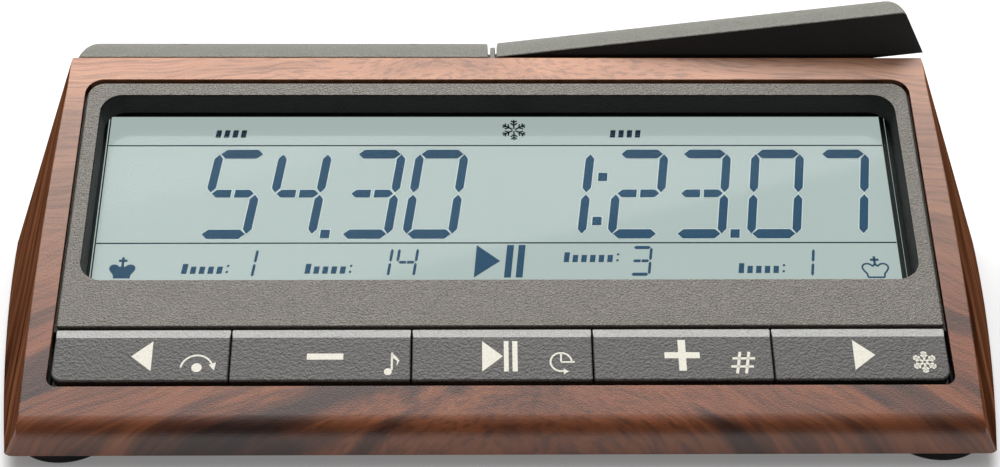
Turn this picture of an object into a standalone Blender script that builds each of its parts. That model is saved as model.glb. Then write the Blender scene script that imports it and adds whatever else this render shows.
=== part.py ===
"""Digital chess clock: a wedge-shaped casing with a display, five buttons and a rocking two-sided lever.

Lengths are millimetres in the case frame: X to the right seen from the front, Y back from the
casing's front edge, Z up from the casing's underside. to_world() turns them into Blender's metres,
with the origin on the table under the middle of the clock.
"""
import math

import bmesh
import bpy
from mathutils import Vector

MM = 0.001

# Casing
CASE_DEPTH = 117.0        # front edge to back edge, at the underside
WALL = 2.2                # casing wall
GAP = 0.3                 # clearance between pieces that touch
FRONT_HALF = 103.75       # half width of the underside, extended to the front edge
SIDE_SPREAD = 0.2183      # how fast the underside widens towards the back ...
SIDE_BOW = 0.000642       # ... and how much of that spread is lost, per mm squared
FRONT_CORNER = 4.5        # plan radius of the front corners
BACK_CORNER = 29.0        # plan radius of the back corners at the underside
BACK_LEAN = 0.14          # inward lean of the back wall
NOSE_RADIUS = 5.3         # rounding between the front lip and the sloping face
FOOT_HEIGHT = 3.0

# Sloping face
FACE_ANGLE = math.radians(25.44)
FACE_HALF = 100.0         # half width of the face, the same from bottom to top
FACE_Y = 2.82             # where the face starts
FACE_Z = 8.30
FACE_LENGTH = 96.1
COS_F, SIN_F, TAN_F = math.cos(FACE_ANGLE), math.sin(FACE_ANGLE), math.tan(FACE_ANGLE)
WELL_Y = FACE_Y + FACE_LENGTH * COS_F      # the lever well starts behind the face's top edge
DECK_TOP = 37.2           # floor of the lever well
DECK_UNDER = DECK_TOP - WALL

# Front panel, in the face's own frame: x across, s up the slope, d below the surface
OPENING = (95.1, 7.1, 88.4)          # half width, lower and upper edge of the opening in the casing
PANEL_HALF = 94.6
PANEL_LOW, PANEL_HIGH = 21.8, 88.05
PANEL_THICK = 4.0
FLANGE_HALF, FLANGE_LOW, FLANGE_HIGH = 97.4, 4.6, 90.2
FLANGE_TOP = 2.5
RECESS = (91.4, 33.4, 85.0)          # half width, lower and upper edge of the display recess
RECESS_CORNER = 4.7
RECESS_DEPTH = 6.6
RECESS_WALL = 1.2
TRAY_FLOOR = (6.0, 7.2)

# Display stack, as depths below the face
WINDOW_DEPTHS = (6.9, 7.7)
LCD_DEPTHS = (8.0, 9.1)
REFLECTOR_DEPTHS = (9.4, 10.9)
STRIP_DEPTHS = (9.4, 11.5)
BOARD_DEPTHS = (11.8, 13.4)

# Buttons
BUTTON_EDGES = (-94.6, -57.6, -19.2, 19.3, 57.6, 94.6)
BUTTON_NAMES = ("back_button", "minus_button", "play_pause_button", "plus_button", "forward_button")
BUTTON_LOW, BUTTON_HIGH = 8.1, 20.5
BUTTON_PROUD = 0.2
BUTTON_FOOT = 4.7
BUTTON_SPLIT = 0.35       # gap between neighbouring buttons
STEM_S = 19.2
STEM_END = 8.5
STEM_RADIUS = 1.3

# Rocker
ROCK_ANGLE = math.radians(6.8)       # full travel from one side to the other
PIVOT_Z = 25.5
PIVOT_Y = 100.0
LEVER_TOP = 49.25
LEVER_FRONT = 90.5
LEVER_ARC = 32.0
LEVER_UNDER = 38.3
LEVER_INNER = 2.4
LEVER_INSET = 1.1
LEVER_WALL = 2.0
BEAM_Y = (93.0, 104.0)
BEAM_Z = (41.2, 43.7)
BEAM_END = 92.0
PEG_X = 30.0
PEG_UNDER = 32.6

# Underside
BASE_THICK = 3.0
BASE_INSET = 2.5
FOOT_PLACES = {"foot_front_left": (-93.0, 11.4), "foot_front_right": (93.0, 11.4),
               "foot_back_left": (-95.0, 97.0), "foot_back_right": (95.0, 97.0)}
FOOT_RADIUS = 10.5
CASE_SCREWS = {"case_screw_front_left": (-104.0, 40.0), "case_screw_front_right": (104.0, 40.0),
               "case_screw_back_left": (-70.0, 102.0), "case_screw_back_right": (70.0, 102.0)}
BOARD_SCREW_X = (-84.0, -28.0, 28.0, 84.0)
BOARD_SCREW_S = 26.5
CELL_RADIUS = 7.1
CELL_Z = 9.4
CELL_YS = (64.5, 80.1)
BAY = (29.5, 57.2, 87.4, 16.9)       # half width, front, back and roof of the battery bay
DOOR_HALF = 31.7
DOOR_FRONT = 57.3
POWER_PLACE = (-40.0, 101.0)
SWITCH_BOARD_Z = (23.0, 24.6)


# ---------------------------------------------------------------- frames
def to_world(x, y, z):
    """A case-frame point in Blender's metres."""
    return Vector((x, y - CASE_DEPTH / 2, z + FOOT_HEIGHT)) * MM


def flat(u, v, w):
    """Outline in X and Y, extruded in Z."""
    return to_world(u, v, w)


def across(u, v, w):
    """Outline in Y and Z, extruded along X."""
    return to_world(w, u, v)


def through(u, v, w):
    """Outline in X and Z, extruded along Y."""
    return to_world(u, w, v)


def face(u, v, w):
    """Outline on the sloping face, extruded into it: u across, v up the slope, w below the surface."""
    return to_world(u, FACE_Y + v * COS_F + w * SIN_F, FACE_Z + v * SIN_F - w * COS_F)


def rocked(frame, angle, side=1):
    """The same frame mirrored to one side and turned about the rocker's pivot."""
    pivot = to_world(0, PIVOT_Y, PIVOT_Z)
    c, s = math.cos(angle), math.sin(angle)

    def turned(u, v, w):
        p = frame(u, v, w)
        dx, dz = p.x * side, p.z - pivot.z
        return Vector((dx * c + dz * s, p.y, pivot.z - dx * s + dz * c))
    return turned


# ---------------------------------------------------------------- outlines
def rectangle(x0, x1, y0, y1):
    return [(x0, y0), (x1, y0), (x1, y1), (x0, y1)]


def circle(cx, cy, r, count=20):
    return [(cx + r * math.cos(2 * math.pi * i / count), cy + r * math.sin(2 * math.pi * i / count))
            for i in range(count)]


def rounded(x0, x1, y0, y1, radii, steps=4):
    """A rectangle with its own radius at each corner: lower left, lower right, upper right, upper left."""
    points = []
    corners = ((x0, y0, 180), (x1, y0, 270), (x1, y1, 0), (x0, y1, 90))
    for (cx, cy, start), r in zip(corners, radii):
        if r <= 0:
            points.append((cx, cy))
            continue
        mx = cx + (r if cx == x0 else -r)
        my = cy + (r if cy == y0 else -r)
        for i in range(steps + 1):
            a = math.radians(start + 90 * i / steps)
            points.append((mx + r * math.cos(a), my + r * math.sin(a)))
    return points


def side_half(y):
    """Half width of the underside at depth y."""
    return FRONT_HALF + SIDE_SPREAD * y - SIDE_BOW * y * y


def face_height(y):
    return FACE_Z + (y - FACE_Y) * TAN_F


def side_lean(y):
    """Inward lean of the side wall, so that it meets the face's straight edge."""
    return (side_half(y) - FACE_HALF) / face_height(y)


def casing_half():
    """Right half of the casing's underside, front to back: (x, y, lean in x, lean in y)."""
    points = []
    r = FRONT_CORNER
    for i in range(5):
        a = math.radians(-90 + 90 * i / 4)
        points.append((side_half(r) - r + r * math.cos(a), r + r * math.sin(a),
                       math.cos(a) * side_lean(r), 0.0, math.cos(a), math.sin(a)))
    r = BACK_CORNER
    y_end = CASE_DEPTH - r
    for i in range(1, 9):
        y = FRONT_CORNER + (y_end - FRONT_CORNER) * i / 8
        points.append((side_half(y), y, side_lean(y), 0.0, 1.0, 0.0))
    for i in range(1, 9):
        a = math.radians(90 * i / 8)
        points.append((side_half(y_end) - r + r * math.cos(a), y_end + r * math.sin(a),
                       math.cos(a) * side_lean(y_end), math.sin(a) * BACK_LEAN, math.cos(a), math.sin(a)))
    return points


# ---------------------------------------------------------------- solids
def material(name, colour, roughness, metallic=0.0, alpha=1.0):
    found = bpy.data.materials.get(name)
    if found:
        return found
    made = bpy.data.materials.new(name)
    made.use_nodes = True
    shader = made.node_tree.nodes["Principled BSDF"]
    shader.inputs["Base Color"].default_value = (*colour, 1.0)
    shader.inputs["Roughness"].default_value = roughness
    shader.inputs["Metallic"].default_value = metallic
    shader.inputs["Alpha"].default_value = alpha
    return made


def finish(name, bm, finish_material):
    bmesh.ops.recalc_face_normals(bm, faces=bm.faces)
    mesh = bpy.data.meshes.new(name)
    bm.to_mesh(mesh)
    bm.free()
    obj = bpy.data.objects.new(name, mesh)
    bpy.context.collection.objects.link(obj)
    if finish_material:
        mesh.materials.append(finish_material)
    return obj


def stack(name, frame, rings, finish_material=None):
    """A closed solid through rings of equal length; a ring is (outline, level)."""
    bm = bmesh.new()
    layers = [[bm.verts.new(frame(u, v, level)) for u, v in outline] for outline, level in rings]
    for low, high in zip(layers, layers[1:]):
        for i in range(len(low)):
            j = (i + 1) % len(low)
            bm.faces.new((low[i], low[j], high[j], high[i]))
    bm.faces.new(layers[0][::-1])
    bm.faces.new(layers[-1])
    return finish(name, bm, finish_material)


def prism(name, frame, outline, low, high, finish_material=None):
    return stack(name, frame, [(outline, low), (outline, high)], finish_material)


def block(name, x, y, z, finish_material=None):
    return prism(name, flat, rectangle(*x, *y), *z, finish_material)


def casing_block(name, inset, low, extra, finish_material=None, frame=flat):
    """The casing's outer form, inset by a wall, from a low level to a little above the face."""
    bm = bmesh.new()
    rows = []
    for x, y, lean_x, lean_y, nx, ny in casing_half():
        high = min(face_height(max(y, FRONT_CORNER)) + extra, LEVER_TOP + extra)
        row = []
        for z in (low, high):
            for side in (1, -1):
                px = x - lean_x * z - nx * inset
                row.append(bm.verts.new(frame(side * px, y - lean_y * z - ny * inset, z)))
        rows.append(row)
    for a, b in zip(rows, rows[1:]):
        for i, j in ((0, 2), (2, 3), (3, 1), (1, 0)):
            bm.faces.new((a[i], a[j], b[j], b[i]))
    for row in (rows[0], rows[-1]):
        bm.faces.new((row[0], row[2], row[3], row[1]))
    return finish(name, bm, finish_material)


def smooth(obj, degrees=35):
    obj.data.shade_smooth()
    obj.data.set_sharp_from_angle(angle=math.radians(degrees))
    return obj


def boolean(obj, tools, operation):
    for tool in tools:
        modifier = obj.modifiers.new(tool.name, 'BOOLEAN')
        modifier.operation = operation
        modifier.solver = 'EXACT'
        modifier.object = tool
        tool.hide_render = True
        tool.display_type = 'WIRE'
    return obj


def cut(obj, *tools):
    return boolean(obj, tools, 'DIFFERENCE')


def add(obj, *tools):
    return boolean(obj, tools, 'UNION')


def keep(obj, *tools):
    return boolean(obj, tools, 'INTERSECT')


def turned(name, frame, cx, cy, profile, finish_material, count=24):
    """A solid of revolution from (radius, level) pairs."""
    return smooth(stack(name, frame, [(circle(cx, cy, r, count), level) for r, level in profile],
                        finish_material))


def hang_on(empty_name, place, *objects):
    """Parent pieces to an empty on their joint's axis, without moving them."""
    empty = bpy.data.objects.new(empty_name, None)
    empty.location = place
    bpy.context.collection.objects.link(empty)
    for obj in objects:
        obj.parent = empty
        obj.matrix_parent_inverse.translation = -place
    return empty


# ---------------------------------------------------------------- finishes
def finishes():
    return {
        "wood": material("casing", (0.34, 0.15, 0.09), 0.42),
        "panel": material("panel", (0.13, 0.125, 0.12), 0.6),
        "button": material("buttons", (0.075, 0.072, 0.07), 0.6),
        "lever": material("lever", (0.33, 0.33, 0.29), 0.55),
        "black": material("black_plastic", (0.02, 0.02, 0.02), 0.5),
        "clear": material("window", (0.8, 0.85, 0.85), 0.05, alpha=0.3),
        "lcd": material("lcd", (0.55, 0.62, 0.6), 0.25),
        "white": material("white_plastic", (0.8, 0.8, 0.78), 0.5),
        "rubber": material("rubber", (0.015, 0.015, 0.015), 0.85),
        "board": material("circuit_board", (0.03, 0.17, 0.07), 0.5),
        "steel": material("steel", (0.6, 0.6, 0.6), 0.3, 1.0),
        "cell": material("cell_sleeve", (0.06, 0.1, 0.12), 0.35),
        "brass": material("brass", (0.7, 0.5, 0.2), 0.35, 1.0),
    }


# ---------------------------------------------------------------- casing
def nose_points():
    """Side-view arc from the upright lip to the sloping face."""
    corner_z = FACE_Z - FACE_Y * TAN_F
    start_z = corner_z - NOSE_RADIUS * math.tan((math.pi / 2 - FACE_ANGLE) / 2)
    turn = math.pi / 2 - FACE_ANGLE
    points = []
    for i in range(7):
        a = math.pi - turn * i / 6
        points.append((NOSE_RADIUS + NOSE_RADIUS * math.cos(a), start_z + NOSE_RADIUS * math.sin(a)))
    return points


def top_housing(look):
    shell = casing_block("top_housing", 0.0, 0.0, 4.0, look["wood"])
    nose = nose_points()
    top = (WELL_Y, face_height(WELL_Y))
    outer = [(-5.0, -5.0), (-5.0, nose[0][1])] + nose + [top, (WELL_Y, DECK_TOP), (130.0, DECK_TOP),
                                                        (130.0, -5.0)]
    keep(shell, prism("housing_profile", across, outer, -130.0, 130.0))

    inner_y = WELL_Y - 2.0
    drop = WALL / COS_F
    hollow = casing_block("housing_hollow", WALL, -1.0, 4.0)
    inner = [(WALL, -5.0), (WALL, face_height(WALL) - drop), (inner_y, face_height(inner_y) - drop),
             (inner_y, DECK_UNDER), (130.0, DECK_UNDER), (130.0, -5.0)]
    keep(hollow, prism("hollow_profile", across, inner, -125.0, 125.0))
    cut(shell, hollow)

    half, low, high = OPENING
    opening = prism("panel_opening", face, rounded(-half, half, low, high, (2.3, 2.3, 4.2, 4.2)), -3.0, 8.0)
    arm_slot = block("arm_slot", (-6.5, 6.5), (94.0, 106.0), (30.0, 40.0))
    peg_slots = [block("peg_slot_%d" % i, (x - 3.2, x + 3.2), (96.5, 103.0), (30.0, 40.0))
                 for i, x in enumerate((-PEG_X, PEG_X))]
    door_notch = block("door_notch", (-32.0, 32.0), (108.0, 121.0), (-1.0, 2.0))
    cut(shell, opening, arm_slot, *peg_slots, door_notch)

    smooth(shell, 30)
    for name, (x, y) in CASE_SCREWS.items():
        at_front = y < 60
        boss_top = 9.0 if at_front else DECK_UNDER + 0.5
        hole_top = 8.4 if at_front else 12.0
        radius = 3.0 if at_front else 3.4
        add(shell, prism(name + "_boss", flat, circle(x, y, radius, 16), BASE_THICK + GAP, boss_top))
        cut(shell, prism(name + "_hole", flat, circle(x, y, 1.5, 12), 0.0, hole_top))
    return shell


def base_cover(look):
    base = casing_block("base_cover", BASE_INSET, 0.0, 4.0, look["black"])
    keep(base, block("base_slab", (-130.0, 130.0), (-5.0, 130.0), (-1.0, BASE_THICK)))
    half, front, back, roof = BAY
    add(base, block("bay_box", (-half - 1.5, half + 1.5), (front - 1.5, back + 1.5), (1.0, roof + 1.2)))
    for i, x in enumerate((-13.5, 13.5)):
        add(base, block("bracket_post_%d" % i, (x - 2.5, x + 2.5), (93.0, 107.0), (1.0, 12.7)))
        cut(base, prism("bracket_post_hole_%d" % i, flat, circle(x, PIVOT_Y, 1.4, 12), 6.0, 14.0))
    for i, x in enumerate((-51.0, -25.0, 25.0, 51.0)):
        add(base, prism("board_post_%d" % i, flat, circle(x, 101.0, 2.2, 12), 1.0, SWITCH_BOARD_Z[0] - GAP))
    groove = [(-30.3, -2.0), (30.3, -2.0), (30.3, 0.55), (32.0, 0.55), (32.0, 2.0), (-32.0, 2.0),
              (-32.0, 0.55), (-30.3, 0.55)]
    channel = prism("door_channel", through, groove, 57.0, 125.0)
    bay = block("bay_hollow", (-half, half), (front, back), (-2.0, roof))
    cut(base, channel, bay)
    for name, (x, y) in CASE_SCREWS.items():
        cut(base, prism(name + "_way", flat, circle(x, y, 1.5, 12), -1.0, 4.0),
            prism(name + "_sink", flat, circle(x, y, 3.3, 16), -1.0, 1.8))
    for name, (x, y) in FOOT_PLACES.items():
        cut(base, prism(name + "_hole", flat, circle(x, y, 4.2, 16), -1.0, 4.0))
    cut(base, prism("power_hole", flat, circle(*POWER_PLACE, 4.9, 20), -1.0, 4.0))
    for i in range(3):
        cut(base, block("sound_slot_%d" % i, (55.0, 65.0), (76.0 + 3 * i, 77.4 + 3 * i), (-1.0, 4.0)))
    return base


def front_panel(look):
    plate = prism("front_panel", face, rectangle(-FLANGE_HALF, FLANGE_HALF, FLANGE_LOW, FLANGE_HIGH),
                  FLANGE_TOP, PANEL_THICK, look["panel"])
    half, low, high = RECESS
    w = RECESS_WALL
    add(plate, prism("panel_face", face,
                     rounded(-PANEL_HALF, PANEL_HALF, PANEL_LOW - 1.0, PANEL_HIGH, (0.0, 0.0, 3.8, 3.8)),
                     0.1, 3.4),
        prism("recess_walls", face,
              rounded(-half - w, half + w, low - w, high + w, (RECESS_CORNER + w,) * 4), 1.0, RECESS_DEPTH),
        prism("tray", face, rectangle(-97.0, 97.0, FLANGE_LOW + 0.4, PANEL_LOW + 2.6), 3.2, TRAY_FLOOR[1]))
    for i, x in enumerate(BOARD_SCREW_X):
        add(plate, prism("board_post_face_%d" % i, face, circle(x, BOARD_SCREW_S, 2.6, 16), 3.0,
                         BOARD_DEPTHS[0] - GAP))
    cut(plate, prism("tray_hollow", face, rectangle(-95.4, 95.4, FLANGE_LOW + 1.4, PANEL_LOW),
                     -1.0, TRAY_FLOOR[0]))
    for i, x in enumerate(BOARD_SCREW_X):
        cut(plate, prism("board_pilot_%d" % i, face, circle(x, BOARD_SCREW_S, 1.3, 12), 6.0, 14.0))
    for i, x in enumerate(button_centres()):
        cut(plate, prism("stem_hole_%d" % i, face, circle(x, STEM_S, STEM_RADIUS + 0.35, 12), 5.0, 9.0))
    cut(plate, prism("recess", face, rounded(-half, half, low, high, (RECESS_CORNER,) * 4), -1.0, 9.0))
    return plate


# ---------------------------------------------------------------- display and boards
def display(look):
    prism("display_window", face, rounded(-93.0, 93.0, 32.0, 86.1, (1.0,) * 4, 2), *WINDOW_DEPTHS,
          look["clear"])
    prism("lcd_glass", face, rectangle(-92.2, 92.2, 32.5, 85.9), *LCD_DEPTHS, look["lcd"])
    prism("lcd_reflector", face, rectangle(-86.0, 86.0, 37.0, 84.5), *REFLECTOR_DEPTHS, look["white"])
    prism("connector_strip", face, rectangle(-80.0, 80.0, 33.2, 35.6), *STRIP_DEPTHS, look["rubber"])
    ring = prism("lcd_frame", face, rectangle(-95.6, 95.6, 30.3, 87.9), 4.3, 11.4, look["black"])
    cut(ring, prism("lcd_frame_hollow", face, rectangle(-93.4, 93.4, 31.4, 86.5), 3.0, 13.0))


def main_board(look):
    board = prism("main_board", face, rectangle(-88.0, 88.0, 17.0, 86.5), *BOARD_DEPTHS, look["board"])
    for i, x in enumerate(BOARD_SCREW_X):
        cut(board, prism("board_hole_%d" % i, face, circle(x, BOARD_SCREW_S, 1.3, 12), 11.0, 14.5))
        turned("board_screw_%d" % (i + 1), face, x, BOARD_SCREW_S,
               [(1.0, 7.0), (1.0, 13.7), (2.4, 13.7), (2.4, 14.6), (1.8, 15.2)], look["steel"], 12)
    prism("processor_chip", face, rounded(-66.0, -52.0, 55.0, 69.0, (0.5,) * 4, 1), 13.7, 15.3,
          look["black"])


def button_centres():
    return [(a + b) / 2 for a, b in zip(BUTTON_EDGES, BUTTON_EDGES[1:])]


def buttons(look):
    last = len(BUTTON_NAMES) - 1
    for i, name in enumerate(BUTTON_NAMES):
        x0 = BUTTON_EDGES[i] + (0 if i == 0 else BUTTON_SPLIT / 2)
        x1 = BUTTON_EDGES[i + 1] - (0 if i == last else BUTTON_SPLIT / 2)
        corner = (2.2 if i == 0 else 0.4, 2.2 if i == last else 0.4, 0.4, 0.4)
        top = rounded(x0 + 0.4, x1 - 0.4, BUTTON_LOW + 0.4, BUTTON_HIGH - 1.4, corner)
        body = rounded(x0, x1, BUTTON_LOW, BUTTON_HIGH, corner)
        cap = stack(name, face, [(top, -BUTTON_PROUD), (body, 0.7), (body, BUTTON_FOOT)], look["button"])
        centre = (BUTTON_EDGES[i] + BUTTON_EDGES[i + 1]) / 2
        add(cap, prism(name + "_rim", face, rectangle(x0, x1, 6.3, 21.5), 2.6, BUTTON_FOOT),
            prism(name + "_stem", face, circle(centre, STEM_S, STEM_RADIUS, 12), 4.0, STEM_END))
        hang_on(name + "_axis", face(centre, STEM_S, 0.0), cap)


def button_mat(look):
    mat = prism("button_mat", face, rectangle(-91.0, 91.0, 17.2, 23.4), 10.9, 11.5, look["rubber"])
    for i, x in enumerate(button_centres()):
        add(mat, stack("mat_dome_%d" % i, face, [(circle(x, STEM_S, 1.9, 12), 11.2),
                                                (circle(x, STEM_S, 1.5, 12), 9.9)]))


# ---------------------------------------------------------------- rocker
def lever_outline(front, drop, back_drop, under):
    """Side view of a lever cap: upright front, round top falling to the back, upright back."""
    centre_y, centre_z = LEVER_FRONT + 0.4, LEVER_TOP - LEVER_ARC
    radius = LEVER_ARC - drop
    points = [(front, under), (front, centre_z + radius - 0.35)]
    end = 111.6 - back_drop
    for i in range(9):
        y = front + 0.4 + (end - front - 0.4) * i / 8
        points.append((y, centre_z + math.sqrt(radius ** 2 - (y - centre_y) ** 2)))
    points.append((end + 0.3, under))
    return points


def lever_cap(name, side, angle, look):
    frame = rocked(flat, angle, side)
    cap = casing_block(name, LEVER_INSET, 30.0, 4.0, look["lever"], frame)
    profile_frame = rocked(across, angle, side)
    keep(cap, prism(name + "_profile", profile_frame, lever_outline(LEVER_FRONT, 0.0, 0.0, LEVER_UNDER),
                    LEVER_INNER, 125.0))
    hollow = casing_block(name + "_hollow", LEVER_INSET + LEVER_WALL, 28.0, 3.0, None, frame)
    keep(hollow, prism(name + "_hollow_profile", profile_frame,
                       lever_outline(LEVER_FRONT + LEVER_WALL, LEVER_WALL, LEVER_WALL, LEVER_UNDER - 4.0),
                       LEVER_INNER + 1.5, 120.0))
    notch = prism(name + "_notch", frame, rectangle(LEVER_INNER - 1.0, LEVER_INNER + 5.0, 92.5, 105.0), 37.0,
                  45.0)
    return smooth(cut(cap, hollow, notch))


def rocker_carrier(look):
    """V-shaped beam with the rib between the levers, the arm to the pivot and the two switch pegs."""
    half = ROCK_ANGLE / 2
    pieces = []
    for side, angle in ((-1, 0.0), (1, -ROCK_ANGLE)):
        frame = rocked(flat, angle, side)
        beam = rectangle(LEVER_INNER + 1.9, BEAM_END, *BEAM_Y)
        pieces.append(prism("beam_%d" % side, frame, beam, *BEAM_Z))
        pieces.append(prism("peg_%d" % side, frame, rectangle(PEG_X - 1.5, PEG_X + 1.5, 98.0, 101.0),
                            PEG_UNDER, BEAM_Z[0] + 1.0))
    upright = rocked(through, -half)
    arm = [(-3.0, 26.0), (3.0, 26.0), (3.0, 37.0), (6.5, 40.0), (6.5, 44.0), (-6.5, 44.0), (-6.5, 40.0),
           (-3.0, 37.0)]
    carrier = prism("rocker_carrier", upright, arm, BEAM_Y[0] + 1.5, BEAM_Y[1] - 0.7, look["black"])
    pieces.append(prism("eye", upright, circle(0.0, PIVOT_Z, 5.0, 20), BEAM_Y[0] + 1.3,
                        105.7))
    pieces.append(prism("cam_nose", upright, [(-2.2, 22.0), (-0.9, 18.5), (0.9, 18.5), (2.2, 22.0)], 96.0,
                        102.5))
    rib_side = lever_outline(LEVER_FRONT, 0.9, 0.6, 41.5)
    pieces.append(prism("rib", rocked(across, -half), rib_side, -0.55, 0.55))
    add(carrier, *pieces)
    return cut(carrier, prism("pivot_bore", upright, circle(0.0, PIVOT_Z, 1.8, 16), 90.0, 110.0))


def rocker(look):
    left = lever_cap("left_lever", -1, 0.0, look)
    right = lever_cap("right_lever", 1, -ROCK_ANGLE, look)
    carrier = rocker_carrier(look)
    moving = [left, right, carrier]
    for name, side, angle in (("left", -1, 0.0), ("right", 1, -ROCK_ANGLE)):
        frame = rocked(flat, angle, side)
        cap = {"left": left, "right": right}[name]
        for i, x in enumerate((20.0, 75.0)):
            tag = "lever_screw_%s_%d" % (name, i + 1)
            y = 98.5
            add(cap, prism(tag + "_boss", frame, circle(x, y, 2.6, 14), BEAM_Z[1] + GAP, LEVER_TOP - 1.6))
            cut(cap, prism(tag + "_pilot", frame, circle(x, y, 1.3, 10), BEAM_Z[1] - 1.0, LEVER_TOP - 2.6))
            cut(carrier, prism(tag + "_way", frame, circle(x, y, 1.3, 10), BEAM_Z[0] - 1.0, BEAM_Z[1] + 1.0))
            screw = turned(tag, frame, x, y, [(1.8, 39.4), (2.3, 39.9), (2.3, 40.9), (1.0, 40.9),
                                              (1.0, LEVER_TOP - 3.2)], look["steel"], 12)
            moving.append(screw)
    hang_on("rocker_axis", to_world(0, PIVOT_Y, PIVOT_Z), *moving)


def pivot(look):
    bracket = block("pivot_bracket", (-16.0, 16.0), (92.5, 107.5), (13.0, 14.5), look["steel"])
    cheek = [(-6.0, 14.0), (6.0, 14.0), (6.0, 27.0), (3.5, 30.0), (-3.5, 30.0), (-6.0, 27.0)]
    add(bracket, prism("cheek_front", through, cheek, 92.5, 94.0),
        prism("cheek_back", through, cheek, 106.0, 107.5))
    cut(bracket, prism("cheek_bore", through, circle(0.0, PIVOT_Z, 1.8, 16), 90.0, 110.0))
    for i, x in enumerate((-13.5, 13.5)):
        cut(bracket, prism("bracket_way_%d" % i, flat, circle(x, PIVOT_Y, 1.4, 12), 12.0, 16.0))
        turned("bracket_screw_%d" % (i + 1), flat, x, PIVOT_Y,
               [(1.0, 6.6), (1.0, 14.8), (2.2, 14.8), (2.2, 15.7), (1.6, 16.2)], look["steel"], 12)
    turned("pivot_pin", through, 0.0, PIVOT_Z,
           [(2.6, 91.0), (2.6, 92.2), (1.5, 92.2), (1.5, 109.0), (1.1, 109.4)], look["steel"], 16)
    clip = prism("pivot_clip", through, circle(0.0, PIVOT_Z, 3.0, 16), 107.8, 108.5, look["steel"])
    cut(clip, prism("clip_bore", through, circle(0.0, PIVOT_Z, 1.8, 16), 107.0, 110.0))
    under = [(-10.8, 14.8), (-8.0, 14.8), (-2.5, 17.1), (2.5, 17.1), (8.0, 14.8), (10.8, 14.8)]
    over = [(x, z + 0.5) for x, z in reversed(under)]
    prism("detent_spring", through, under + over, 96.5, 103.5, look["steel"])


def switches(look):
    for name, side in (("left", -1), ("right", 1)):
        x0, x1 = sorted((side * 22.5, side * 53.5))
        block("switch_board_" + name, (x0, x1), (94.5, 107.5), SWITCH_BOARD_Z, look["board"])
        body = block("lever_switch_" + name, (side * PEG_X - 6.4, side * PEG_X + 6.4), (96.6, 102.4),
                     (24.9, 31.4), look["black"])
        add(body, prism("lever_switch_tip_" + name, flat, circle(side * PEG_X, 99.5, 1.1, 10), 31.0, 32.2))
    x, y = POWER_PLACE
    power = block("power_switch", (x - 3.2, x + 3.2), (y - 3.2, y + 3.2), (18.9, 22.7), look["black"])
    add(power, prism("power_switch_tip", flat, circle(x, y, 1.6, 12), 18.2, 19.5))
    button = turned("power_button", flat, x, y,
                    [(4.1, 0.3), (4.6, 0.8), (4.6, 3.3), (6.2, 3.3), (6.2, 4.5), (1.8, 4.5), (1.8, 16.9)],
                    look["button"], 24)
    hang_on("power_axis", to_world(x, y, 0.3), button)


# ---------------------------------------------------------------- power and underside
def battery_coil(name, x_start, x_end, y, look):
    """Conical spring: a round wire wound from a wide seat to a narrow tip."""
    turns, per_turn, wire = 3.0, 10, 0.35
    count = int(turns * per_turn) + 1
    curve = bpy.data.curves.new(name, 'CURVE')
    curve.dimensions = '3D'
    curve.bevel_depth = wire * MM
    curve.bevel_resolution = 1
    curve.use_fill_caps = True
    spline = curve.splines.new('POLY')
    spline.points.add(count - 1)
    for i in range(count):
        t = i / (count - 1)
        angle = 2 * math.pi * turns * t
        radius = 4.6 - 2.2 * t
        place = to_world(x_start + (x_end - x_start) * t, y + radius * math.cos(angle),
                         CELL_Z + radius * math.sin(angle))
        spline.points[i].co = (*place, 1.0)
    coil = bpy.data.objects.new(name, curve)
    bpy.context.collection.objects.link(coil)
    curve.materials.append(look["steel"])


def power_supply(look):
    half, front, back, roof = BAY
    for i, (y, side) in enumerate(zip(CELL_YS, (1, -1))):
        def lengthwise(u, v, w, side=side):
            return to_world(side * w, u, v)
        cell = [(6.6, -22.0), (CELL_RADIUS, -21.5), (CELL_RADIUS, 27.0), (6.6, 27.5), (2.7, 27.5), (2.7, 28.5)]
        turned("battery_cell_%d" % (i + 1), lengthwise, y, CELL_Z, cell, look["cell"], 24)
        battery_coil("battery_spring_%d" % (i + 1), side * -28.4, side * -22.8, y, look)
    plate = rectangle(CELL_YS[0] - 5.5, CELL_YS[1] + 5.5, 4.0, 15.0)
    prism("battery_link", across, plate, -29.2, -28.85, look["brass"])
    for name, y in (("battery_contact_plus", CELL_YS[0]), ("battery_contact_minus", CELL_YS[1])):
        prism(name, across, rectangle(y - 5.5, y + 5.5, 4.0, 15.0), 28.85, 29.2, look["brass"])
    turned("buzzer", flat, 60.0, 80.0, [(9.6, BASE_THICK + GAP), (10.0, 3.8), (10.0, 6.0), (9.4, 6.6)],
           look["black"], 24)


def underside(look):
    tongue = DOOR_HALF
    lip = DOOR_HALF - 1.7
    section = [(-lip, 0.15), (lip, 0.15), (lip, 0.85), (tongue, 0.85), (tongue, 1.7), (-tongue, 1.7),
               (-tongue, 0.85), (-lip, 0.85)]
    door = prism("battery_door", through, section, DOOR_FRONT, CASE_DEPTH - 0.3, look["black"])
    for i in range(4):
        y = 98.0 + 3.0 * i
        add(door, block("door_ridge_%d" % i, (-9.0, 9.0), (y, y + 1.2), (-0.35, 0.6)))
    hang_on("door_axis", to_world(0.0, (DOOR_FRONT + CASE_DEPTH) / 2, 1.0), door)
    for name, (x, y) in FOOT_PLACES.items():
        turned(name, flat, x, y, [(9.8, -FOOT_HEIGHT), (FOOT_RADIUS, -2.3), (FOOT_RADIUS, -GAP), (3.9, -GAP),
                                  (3.9, 2.8)], look["rubber"], 24)
    for name, (x, y) in CASE_SCREWS.items():
        turned(name, flat, x, y, [(2.4, 0.1), (3.0, 0.5), (3.0, 1.5), (1.2, 1.5), (1.2, 7.6), (0.8, 8.1)],
               look["steel"], 14)


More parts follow.
